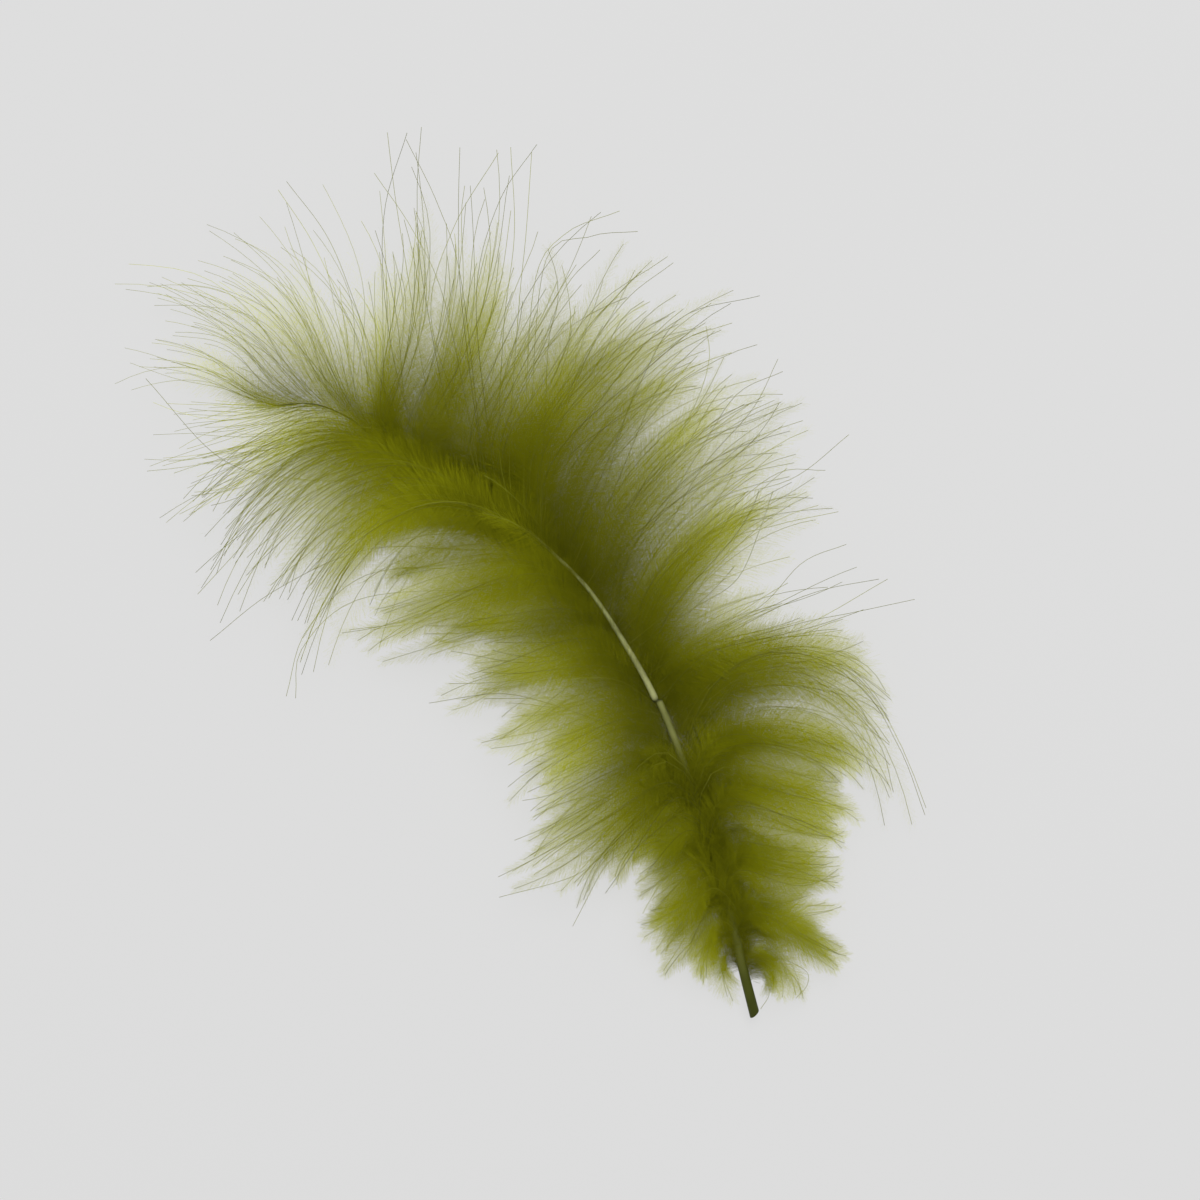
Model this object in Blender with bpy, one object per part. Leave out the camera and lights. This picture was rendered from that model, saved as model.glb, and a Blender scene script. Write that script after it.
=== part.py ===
"""A dyed marabou feather that lies on a surface.

One grown piece: a bowed, tapering shaft with a kink and a cut quill end, and the locks of soft
down that grow from both its sides, fused to it. Plan places are in millimetres from the quill's
cut end, as the feather is seen from above, and are then turned so that the quill points to -Y
and the shaft's tip to +Y. The origin is under the middle of the feather, on the surface.
"""

import math

import bpy
import numpy as np

MM = 0.001

# The turn that lays the line from cut end to tip along +Y, and the plan place of the origin.
LEAN = math.radians(38.4)
CENTRE = (-27.8, 63.6)

# The shaft's middle line in plan. It is straight below the kink and bows over above it.
SHAFT_PLAN = [
    (0.0, 0.0), (-1.7, 6.6), (-3.4, 14.0), (-6.9, 25.9), (-9.5, 33.7), (-13.9, 44.1),
    (-17.5, 50.8), (-23.0, 59.2), (-28.3, 64.7), (-33.6, 69.4), (-40.3, 73.6), (-46.6, 76.6),
    (-52.5, 80.1), (-56.6, 83.4), (-61.7, 85.5), (-67.6, 85.3),
]
SHAFT_LENGTH = 117.3
KINK_STATION = 46.3
CUT_END_HEIGHT = 1.9
TIP_HEIGHT = 3.6
SHAFT_BOW = 4.2

# The shaft's diameter at stations along it.
SHAFT_STATIONS = (0.0, 6.0, 26.0, 46.3, 60.0, 75.0, 95.0, 117.3)
SHAFT_DIAMETERS = (1.45, 1.35, 1.15, 0.95, 0.65, 0.42, 0.26, 0.10)
SHAFT_SIDES = 8
SHAFT_RINGS = 40

# The hollow in the cut quill. Its cutter runs on past the end by a share of the hollow's depth.
PITH_DIAMETER = 0.8
PITH_DEPTH = 2.5
PITH_OVERRUN = 0.5

# The locks of each side, tuft by tuft from the quill up. A lock is the station of its root on the
# shaft, a plan point half-way along it, and the plan place of its tip.
RIGHT_TUFTS = {
    "quill curl": [
        (5.5, (1.8, 5.7), (2.1, 1.7)),
        (7.5, (3.8, 7.4), (5.9, 2.1)),
        (9.0, (5.9, 9.8), (12.7, 5.6)),
        (10.0, (4.9, 11.3), (11.9, 9.4)),
    ],
    "lower skirt": [
        (11.4, (4.2, 13.0), (12.6, 15.5)),
        (14.0, (4.5, 16.4), (12.7, 18.3)),
        (17.5, (4.4, 20.4), (12.3, 21.2)),
        (21.0, (4.4, 24.4), (13.0, 24.3)),
        (25.0, (4.9, 29.2), (13.9, 26.9)),
        (28.5, (5.4, 33.4), (14.6, 30.0)),
        (31.5, (6.3, 37.2), (15.5, 33.0)),
    ],
    "arching lock": [
        (34.5, (8.4, 42.4), (18.9, 32.3)),
        (37.0, (9.4, 47.2), (23.2, 28.1)),
        (39.5, (8.4, 49.0), (19.7, 38.5)),
        (42.0, (5.6, 49.7), (15.8, 46.9)),
    ],
    "middle wisps": [
        (43.5, (1.4, 51.4), (16.9, 51.4)),
        (45.2, (2.8, 53.9), (21.4, 58.1)),
        (46.8, (0.4, 56.0), (16.8, 61.3)),
    ],
    "upper fan": [
        (48.5, (-5.7, 64.4), (11.1, 70.3)),
        (51.0, (-9.9, 63.7), (2.7, 72.8)),
        (54.0, (-7.0, 67.9), (11.2, 73.9)),
        (58.0, (-8.4, 72.8), (12.6, 80.8)),
        (62.0, (-10.8, 74.9), (5.6, 85.0)),
    ],
    "upper flames": [
        (65.5, (-15.0, 80.5), (2.9, 90.9)),
        (69.5, (-19.2, 84.7), (-1.7, 95.5)),
        (73.5, (-21.7, 87.8), (0.3, 100.0)),
        (76.5, (-25.8, 86.8), (-12.2, 98.1)),
        (79.0, (-27.3, 91.0), (-10.5, 105.1)),
    ],
    "crown": [
        (80.5, (-29.0, 89.6), (-23.5, 104.4)),
        (83.5, (-33.2, 93.4), (-18.9, 111.7)),
        (86.5, (-36.0, 96.6), (-30.4, 120.8)),
        (90.0, (-40.8, 97.5), (-38.0, 120.3)),
        (93.5, (-46.3, 98.0), (-46.9, 122.9)),
        (97.0, (-50.5, 97.6), (-52.8, 116.3)),
    ],
    "tip comb": [
        (98.5, (-53.5, 92.8), (-56.3, 104.3)),
        (100.5, (-57.4, 95.2), (-65.0, 115.8)),
        (104.0, (-63.5, 99.5), (-77.5, 112.0)),
        (107.5, (-67.5, 98.8), (-84.5, 108.8)),
        (111.0, (-72.0, 96.6), (-88.4, 104.0)),
        (114.0, (-75.0, 92.8), (-89.3, 97.0)),
        (117.0, (-77.7, 88.1), (-89.2, 88.9)),
    ],
}
LEFT_TUFTS = {
    "quill tuft": [
        (6.8, (-4.3, 7.0), (-3.2, 1.4)),
        (8.5, (-5.6, 8.4), (-7.4, 2.9)),
        (11.0, (-8.0, 10.9), (-14.0, 5.6)),
        (14.0, (-9.2, 13.7), (-16.5, 11.3)),
    ],
    "lower skirt": [
        (16.5, (-9.8, 17.0), (-16.6, 15.0)),
        (19.0, (-10.6, 19.8), (-16.9, 18.0)),
        (21.8, (-11.6, 22.6), (-17.2, 20.9)),
    ],
    "lower wisps": [
        (24.5, (-17.8, 24.8), (-25.5, 12.7)),
        (27.0, (-20.3, 25.2), (-35.7, 16.8)),
        (30.0, (-20.4, 28.5), (-33.8, 20.6)),
        (33.0, (-21.0, 31.6), (-32.0, 26.0)),
        (36.0, (-22.0, 34.9), (-31.9, 30.4)),
        (39.0, (-23.2, 38.2), (-35.0, 33.0)),
        (41.8, (-24.6, 41.0), (-39.5, 37.7)),
    ],
    "middle fringe": [
        (44.5, (-25.2, 44.0), (-36.2, 40.6)),
        (47.0, (-29.4, 46.2), (-45.2, 43.7)),
        (50.0, (-29.5, 49.6), (-43.3, 50.2)),
        (53.0, (-32.0, 53.5), (-46.5, 53.3)),
        (56.0, (-34.6, 56.0), (-52.2, 54.4)),
        (59.5, (-38.5, 58.6), (-59.2, 52.0)),
        (63.0, (-41.0, 61.8), (-56.7, 58.8)),
    ],
    "trailing locks": [
        (66.5, (-50.4, 67.9), (-63.7, 44.7)),
        (70.0, (-52.4, 69.6), (-66.5, 48.0)),
        (73.5, (-55.0, 71.0), (-69.0, 51.8)),
        (77.0, (-57.0, 72.6), (-73.0, 54.0)),
        (80.5, (-58.2, 74.5), (-77.0, 55.2)),
        (84.0, (-60.2, 76.0), (-79.5, 57.0)),
        (87.5, (-63.3, 76.5), (-80.4, 60.0)),
        (91.0, (-65.0, 77.8), (-77.6, 63.3)),
        (94.5, (-66.0, 78.8), (-82.0, 65.0)),
        (97.5, (-67.9, 78.4), (-87.5, 69.3)),
    ],
    "tip underside": [
        (100.0, (-66.8, 78.8), (-79.7, 74.0)),
        (102.5, (-68.5, 79.6), (-88.9, 75.6)),
        (105.5, (-69.0, 80.7), (-84.5, 78.0)),
        (108.5, (-70.2, 82.3), (-88.9, 80.0)),
        (111.5, (-69.8, 83.6), (-83.2, 82.5)),
        (115.0, (-73.0, 85.5), (-89.0, 85.4)),
    ],
}

# How locks rise and fall. Neighbours take turns in three layers: one droops and lies on the
# surface, one stands out level and one rises. A drooping lock's middle is at a share of its
# root's height. The others' heights above their roots are shares of the lock's reach, a little
# more or less from one lock to the next.
LAYERS = ("low", "high", "level")
DROOP = 0.18
LOWEST_TIP = 0.35
MIDDLE_RISE = {"level": 0.07, "high": 0.20}
TIP_RISE = {"level": 0.03, "high": 0.25}
RISE_VARIATION = 0.25
VARIATION_STEP = 2.4

# A lock is a lens-shaped blade of four sides, pointed at both ends. Its width at its fullest grows
# with its reach, its thickness is a share of its width, and between its ends it has a ring at each
# place, with the share of the full width there.
LOCK_SIDES = 4
LEAST_WIDTH = 2.6
WIDTH_SHARE = 0.10
MOST_WIDTH_SHARE = 0.30
THICKNESS_SHARE = 0.38
RING_PLACES = (0.10, 0.28, 0.48, 0.66, 0.82, 0.94)
RING_FULLNESS = (0.80, 1.00, 0.94, 0.70, 0.40, 0.15)

# The block below the surface that trims the undersides flat, and how far it reaches.
SURFACE_SIZE = 240.0
SURFACE_DEPTH = 20.0

# Points of the smooth route between two points of the shaft's line, and the angle between two
# faces above which their shared edge is shaded sharp.
ROUTE_STEPS = 24
SHARP_ANGLE = math.radians(50.0)

DOWN_COLOUR = (0.150, 0.155, 0.018, 1.0)
DOWN_ROUGHNESS = 0.85


def clear_scene():
    for item in list(bpy.data.objects):
        bpy.data.objects.remove(item, do_unlink=True)


def placed(plan, height):
    """A plan place in millimetres and a height, turned and centred, in metres."""
    across = plan[0] - CENTRE[0]
    along = plan[1] - CENTRE[1]
    x = across * math.cos(LEAN) + along * math.sin(LEAN)
    y = along * math.cos(LEAN) - across * math.sin(LEAN)
    return np.array([x, y, height]) * MM


def smooth_route(points):
    """A Catmull-Rom curve through the points, and the length run at each of its points."""
    ends = np.array([2 * np.array(points[0]) - points[1], 2 * np.array(points[-1]) - points[-2]])
    knots = np.vstack([ends[:1], points, ends[1:]])
    curve = []
    for a, b, c, d in zip(knots, knots[1:], knots[2:], knots[3:]):
        for t in np.arange(ROUTE_STEPS) / ROUTE_STEPS:
            curve.append(0.5 * (2 * b + (c - a) * t + (2 * a - 5 * b + 4 * c - d) * t**2
                                + (3 * b - a - 3 * c + d) * t**3))
    curve.append(np.array(points[-1], float))
    curve = np.array(curve)
    run = np.concatenate([[0.0], np.cumsum(np.linalg.norm(np.diff(curve, axis=0), axis=1))])
    return curve, run


SHAFT_CURVE, SHAFT_RUN = smooth_route(SHAFT_PLAN)


def shaft_plan(station):
    return np.array([np.interp(station, SHAFT_RUN, SHAFT_CURVE[:, i]) for i in range(2)])


def shaft_height(station):
    share = station / SHAFT_LENGTH
    level = CUT_END_HEIGHT + (TIP_HEIGHT - CUT_END_HEIGHT) * share
    return level + SHAFT_BOW * math.sin(math.pi * share**0.8)


def shaft_point(station):
    return placed(shaft_plan(station), shaft_height(station))


def tube_mesh(name, centres, radii, sides):
    """A closed round tube along a line of points, with flat ends."""
    centres = np.array(centres)
    forward = np.gradient(centres, axis=0)
    forward /= np.linalg.norm(forward, axis=1)[:, None]
    aside = np.cross(forward, (0.0, 0.0, 1.0))
    aside /= np.linalg.norm(aside, axis=1)[:, None]
    upward = np.cross(aside, forward)
    angles = 2 * math.pi * np.arange(sides) / sides
    ring = (np.cos(angles)[None, :, None] * aside[:, None]
            + np.sin(angles)[None, :, None] * upward[:, None])
    points = centres[:, None] + ring * np.array(radii)[:, None, None]
    faces = []
    for row in range(len(centres) - 1):
        for side in range(sides):
            after = (side + 1) % sides
            faces.append((row * sides + side, (row + 1) * sides + side,
                          (row + 1) * sides + after, row * sides + after))
    faces.append(tuple(range(sides)))
    faces.append(tuple(reversed(range((len(centres) - 1) * sides, len(centres) * sides))))
    return mesh_from(name, points.reshape(-1, 3), faces)


def mesh_from(name, points, faces):
    mesh = bpy.data.meshes.new(name)
    mesh.from_pydata([tuple(point) for point in points], [], faces)
    mesh.validate()
    mesh.shade_smooth()
    mesh.set_sharp_from_angle(angle=SHARP_ANGLE)
    return mesh


def lock_line(root, middle, tip, places):
    """Points along a lock: a curve with one bend that passes the middle point half-way."""
    bend = 2 * middle - (root + tip) / 2
    places = np.asarray(places)[:, None]
    return (1 - places)**2 * root + 2 * places * (1 - places) * bend + places**2 * tip


def lock_mesh(name, station, middle_plan, tip_plan, layer, variation):
    """A flat lens-shaped blade from the shaft's middle line to a pointed tip."""
    root_plan = shaft_plan(station)
    reach = float(np.linalg.norm(np.array(tip_plan) - root_plan))
    root_height = shaft_height(station)
    if layer == "low":
        middle_height = DROOP * root_height
        tip_height = LOWEST_TIP
    else:
        middle_height = root_height + MIDDLE_RISE[layer] * reach * variation
        tip_height = root_height + TIP_RISE[layer] * reach * variation
    root = placed(root_plan, root_height)
    middle = placed(middle_plan, middle_height)
    tip = placed(tip_plan, tip_height)

    width = min(LEAST_WIDTH + WIDTH_SHARE * reach, MOST_WIDTH_SHARE * reach)
    line = lock_line(root, middle, tip, (0.0, *RING_PLACES, 1.0))
    forward = np.gradient(line, axis=0)
    forward /= np.linalg.norm(forward, axis=1)[:, None]
    aside = np.cross(forward, (0.0, 0.0, 1.0))
    aside /= np.linalg.norm(aside, axis=1)[:, None]
    upward = np.cross(aside, forward)

    points = [root]
    for ring, fullness in enumerate(RING_FULLNESS, start=1):
        half_width = aside[ring] * width / 2 * fullness * MM
        half_depth = upward[ring] * width / 2 * THICKNESS_SHARE * fullness * MM
        points += [line[ring] + half_width, line[ring] + half_depth,
                   line[ring] - half_width, line[ring] - half_depth]
    points.append(tip)
    return mesh_from(name, points, blade_faces(len(RING_PLACES)))


def blade_faces(rings):
    """Faces of a closed blade: its root point, then its rings of points, then its tip point."""
    tip = 1 + rings * LOCK_SIDES
    last_ring = tip - LOCK_SIDES
    faces = []
    for side in range(LOCK_SIDES):
        after = (side + 1) % LOCK_SIDES
        faces.append((0, 1 + side, 1 + after))
        for here in range(1, last_ring, LOCK_SIDES):
            beyond = here + LOCK_SIDES
            faces.append((here + side, beyond + side, beyond + after, here + after))
        faces.append((last_ring + side, tip, last_ring + after))
    return faces


def as_helper(item, collection):
    """Keeps an object as a Boolean's operand that is never part of the feather."""
    item.hide_render = True
    item.display_type = "WIRE"
    collection.objects.link(item)


def add_locks(collection):
    for side, tufts in (("right", RIGHT_TUFTS), ("left", LEFT_TUFTS)):
        count = 0
        for locks in tufts.values():
            for station, middle, tip in locks:
                layer = LAYERS[count % len(LAYERS)]
                variation = 1 + RISE_VARIATION * math.sin(VARIATION_STEP * count)
                count += 1
                name = f"{side}_lock_{count:02d}"
                mesh = lock_mesh(name, station, middle, tip, layer, variation)
                as_helper(bpy.data.objects.new(name, mesh), collection)


def add_surface_trim(collection):
    """The block under the surface that the feather lies on."""
    half = SURFACE_SIZE / 2 * MM
    depth = SURFACE_DEPTH * MM
    corners = [(x, y, z) for z in (-depth, 0.0) for x, y in
               ((-half, -half), (half, -half), (half, half), (-half, half))]
    faces = [(3, 2, 1, 0), (4, 5, 6, 7), (0, 1, 5, 4), (1, 2, 6, 5), (2, 3, 7, 6), (3, 0, 4, 7)]
    block = mesh_from("below_surface", corners, faces)
    as_helper(bpy.data.objects.new("below_surface", block), collection)


def add_pith_trim(collection):
    """The core that leaves the cut quill hollow."""
    inner = shaft_point(PITH_DEPTH)
    end = shaft_point(0.0)
    beyond = end + (end - inner) * PITH_OVERRUN
    radius = PITH_DIAMETER / 2 * MM
    core = tube_mesh("pith_core", [inner, end, beyond], [radius] * 3, SHAFT_SIDES)
    as_helper(bpy.data.objects.new("pith_core", core), collection)


def add_boolean(item, name, operation, collection):
    step = item.modifiers.new(name, "BOOLEAN")
    step.operation = operation
    step.operand_type = "COLLECTION"
    step.collection = collection
    step.solver = "EXACT"


def down_material():
    material = bpy.data.materials.new("dyed_down")
    material.use_nodes = True
    shader = material.node_tree.nodes["Principled BSDF"]
    shader.inputs["Base Color"].default_value = DOWN_COLOUR
    shader.inputs["Roughness"].default_value = DOWN_ROUGHNESS
    return material


def build_feather():
    scene_root = bpy.context.scene.collection
    locks = bpy.data.collections.new("locks")
    trims = bpy.data.collections.new("trims")
    scene_root.children.link(locks)
    scene_root.children.link(trims)
    add_locks(locks)
    add_surface_trim(trims)
    add_pith_trim(trims)

    # A station lies exactly on the kink, so that the bend there stays crisp.
    stations = np.unique(np.append(np.linspace(0.0, SHAFT_LENGTH, SHAFT_RINGS), KINK_STATION))
    centres = [shaft_point(station) for station in stations]
    radii = np.interp(stations, SHAFT_STATIONS, SHAFT_DIAMETERS) / 2 * MM
    feather = bpy.data.objects.new("feather", tube_mesh("feather", centres, radii, SHAFT_SIDES))
    scene_root.objects.link(feather)
    feather.data.materials.append(down_material())
    add_boolean(feather, "fuse the locks", "UNION", locks)
    add_boolean(feather, "trim the underside and the quill", "DIFFERENCE", trims)


def main():
    clear_scene()
    build_feather()


main()
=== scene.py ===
"""Looks of a dyed marabou feather: its shaft, and every barb with its barbules, as real meshes.

Plan places are in millimetres from the quill's cut end, as the feather is seen from above. They
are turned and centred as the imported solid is, and all that is placed here follows the same locks.
"""

import math

import bpy
import numpy as np
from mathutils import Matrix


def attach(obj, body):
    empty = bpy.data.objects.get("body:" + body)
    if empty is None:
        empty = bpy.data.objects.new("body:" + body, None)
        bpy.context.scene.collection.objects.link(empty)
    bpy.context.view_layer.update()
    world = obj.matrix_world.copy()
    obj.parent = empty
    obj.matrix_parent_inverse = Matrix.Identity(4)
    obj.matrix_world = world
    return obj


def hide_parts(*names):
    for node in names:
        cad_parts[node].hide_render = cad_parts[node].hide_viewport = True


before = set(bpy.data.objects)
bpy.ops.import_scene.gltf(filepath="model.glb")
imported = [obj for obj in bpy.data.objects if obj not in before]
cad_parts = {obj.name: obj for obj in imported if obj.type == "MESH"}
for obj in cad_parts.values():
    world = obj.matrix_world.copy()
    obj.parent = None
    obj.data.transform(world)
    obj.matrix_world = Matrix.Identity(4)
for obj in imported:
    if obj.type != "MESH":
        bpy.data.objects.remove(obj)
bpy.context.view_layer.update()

MM = 0.001
LEAN = math.radians(38.4)
CENTRE = (-27.8, 63.6)

# The shaft's middle line in plan, its heights and its diameters, as in the solid. Its cut end is
# slanted and hollow, and below its kink it steps a little aside.
SHAFT_PLAN = [
    (0.0, 0.0), (-1.7, 6.6), (-3.4, 14.0), (-6.9, 25.9), (-9.5, 33.7), (-13.9, 44.1),
    (-17.5, 50.8), (-23.0, 59.2), (-28.3, 64.7), (-33.6, 69.4), (-40.3, 73.6), (-46.6, 76.6),
    (-52.5, 80.1), (-56.6, 83.4), (-61.7, 85.5), (-67.6, 85.3),
]
SHAFT_LENGTH = 117.3
KINK_STATION = 46.3
KINK_STEP = 0.35
KINK_STEP_RUN = 14.0
CUT_SLANT = 0.55
CREASE_DEPTH = 0.25
CREASE_RUN = 0.25
CREASE_RINGS = (-0.35, -0.15, 0.0, 0.15, 0.35)
PITH_RADIUS = 0.40
PITH_END_RADIUS = 0.10
PITH_DEPTH = 2.5
SHAFT_SIDES = 16
SHAFT_RINGS = 180
SHAFT_SMOOTH_ANGLE = math.radians(50.0)
SHAFT_LOOK_AHEAD = 0.1
ROUTE_STEPS = 24
CUT_END_HEIGHT = 1.9
TIP_HEIGHT = 3.6
SHAFT_BOW = 4.2
SHAFT_BOW_SKEW = 0.8
SHAFT_STATIONS = (0.0, 6.0, 26.0, 46.3, 60.0, 75.0, 95.0, 117.3)
SHAFT_DIAMETERS = (1.45, 1.35, 1.15, 0.95, 0.65, 0.42, 0.26, 0.10)

# The locks of each side, tuft by tuft from the quill up: the station of the root on the shaft, a
# plan point half-way along, and the plan place of the tip.
RIGHT_TUFTS = {
    "quill curl": [
        (5.5, (1.8, 5.7), (2.1, 1.7)),
        (7.5, (3.8, 7.4), (5.9, 2.1)),
        (9.0, (5.9, 9.8), (12.7, 5.6)),
        (10.0, (4.9, 11.3), (11.9, 9.4)),
    ],
    "lower skirt": [
        (11.4, (4.2, 13.0), (12.6, 15.5)),
        (14.0, (4.5, 16.4), (12.7, 18.3)),
        (17.5, (4.4, 20.4), (12.3, 21.2)),
        (21.0, (4.4, 24.4), (13.0, 24.3)),
        (25.0, (4.9, 29.2), (13.9, 26.9)),
        (28.5, (5.4, 33.4), (14.6, 30.0)),
        (31.5, (6.3, 37.2), (15.5, 33.0)),
    ],
    "arching lock": [
        (34.5, (8.4, 42.4), (18.9, 32.3)),
        (37.0, (9.4, 47.2), (23.2, 28.1)),
        (39.5, (8.4, 49.0), (19.7, 38.5)),
        (42.0, (5.6, 49.7), (15.8, 46.9)),
    ],
    "middle wisps": [
        (43.5, (1.4, 51.4), (16.9, 51.4)),
        (45.2, (2.8, 53.9), (21.4, 58.1)),
        (46.8, (0.4, 56.0), (16.8, 61.3)),
    ],
    "upper fan": [
        (48.5, (-5.7, 64.4), (11.1, 70.3)),
        (51.0, (-9.9, 63.7), (2.7, 72.8)),
        (54.0, (-7.0, 67.9), (11.2, 73.9)),
        (58.0, (-8.4, 72.8), (12.6, 80.8)),
        (62.0, (-10.8, 74.9), (5.6, 85.0)),
    ],
    "upper flames": [
        (65.5, (-15.0, 80.5), (2.9, 90.9)),
        (69.5, (-19.2, 84.7), (-1.7, 95.5)),
        (73.5, (-21.7, 87.8), (0.3, 100.0)),
        (76.5, (-25.8, 86.8), (-12.2, 98.1)),
        (79.0, (-27.3, 91.0), (-10.5, 105.1)),
    ],
    "crown": [
        (80.5, (-29.0, 89.6), (-23.5, 104.4)),
        (83.5, (-33.2, 93.4), (-18.9, 111.7)),
        (86.5, (-36.0, 96.6), (-30.4, 120.8)),
        (90.0, (-40.8, 97.5), (-38.0, 120.3)),
        (93.5, (-46.3, 98.0), (-46.9, 122.9)),
        (97.0, (-50.5, 97.6), (-52.8, 116.3)),
    ],
    "tip comb": [
        (98.5, (-53.5, 92.8), (-56.3, 104.3)),
        (100.5, (-57.4, 95.2), (-65.0, 115.8)),
        (104.0, (-63.5, 99.5), (-77.5, 112.0)),
        (107.5, (-67.5, 98.8), (-84.5, 108.8)),
        (111.0, (-72.0, 96.6), (-88.4, 104.0)),
        (114.0, (-75.0, 92.8), (-89.3, 97.0)),
        (117.0, (-77.7, 88.1), (-89.2, 88.9)),
    ],
}
LEFT_TUFTS = {
    "quill tuft": [
        (6.8, (-4.3, 7.0), (-3.2, 1.4)),
        (8.5, (-5.6, 8.4), (-7.4, 2.9)),
        (11.0, (-8.0, 10.9), (-14.0, 5.6)),
        (14.0, (-9.2, 13.7), (-16.5, 11.3)),
    ],
    "lower skirt": [
        (16.5, (-9.8, 17.0), (-16.6, 15.0)),
        (19.0, (-10.6, 19.8), (-16.9, 18.0)),
        (21.8, (-11.6, 22.6), (-17.2, 20.9)),
    ],
    "lower wisps": [
        (24.5, (-17.8, 24.8), (-25.5, 12.7)),
        (27.0, (-20.3, 25.2), (-35.7, 16.8)),
        (30.0, (-20.4, 28.5), (-33.8, 20.6)),
        (33.0, (-21.0, 31.6), (-32.0, 26.0)),
        (36.0, (-22.0, 34.9), (-31.9, 30.4)),
        (39.0, (-23.2, 38.2), (-35.0, 33.0)),
        (41.8, (-24.6, 41.0), (-39.5, 37.7)),
    ],
    "middle fringe": [
        (44.5, (-25.2, 44.0), (-36.2, 40.6)),
        (47.0, (-29.4, 46.2), (-45.2, 43.7)),
        (50.0, (-29.5, 49.6), (-43.3, 50.2)),
        (53.0, (-32.0, 53.5), (-46.5, 53.3)),
        (56.0, (-34.6, 56.0), (-52.2, 54.4)),
        (59.5, (-38.5, 58.6), (-59.2, 52.0)),
        (63.0, (-41.0, 61.8), (-56.7, 58.8)),
    ],
    "trailing locks": [
        (66.5, (-50.4, 67.9), (-63.7, 44.7)),
        (70.0, (-52.4, 69.6), (-66.5, 48.0)),
        (73.5, (-55.0, 71.0), (-69.0, 51.8)),
        (77.0, (-57.0, 72.6), (-73.0, 54.0)),
        (80.5, (-58.2, 74.5), (-77.0, 55.2)),
        (84.0, (-60.2, 76.0), (-79.5, 57.0)),
        (87.5, (-63.3, 76.5), (-80.4, 60.0)),
        (91.0, (-65.0, 77.8), (-77.6, 63.3)),
        (94.5, (-66.0, 78.8), (-82.0, 65.0)),
        (97.5, (-67.9, 78.4), (-87.5, 69.3)),
    ],
    "tip underside": [
        (100.0, (-66.8, 78.8), (-79.7, 74.0)),
        (102.5, (-68.5, 79.6), (-88.9, 75.6)),
        (105.5, (-69.0, 80.7), (-84.5, 78.0)),
        (108.5, (-70.2, 82.3), (-88.9, 80.0)),
        (111.5, (-69.8, 83.6), (-83.2, 82.5)),
        (115.0, (-73.0, 85.5), (-89.0, 85.4)),
    ],
}

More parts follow.
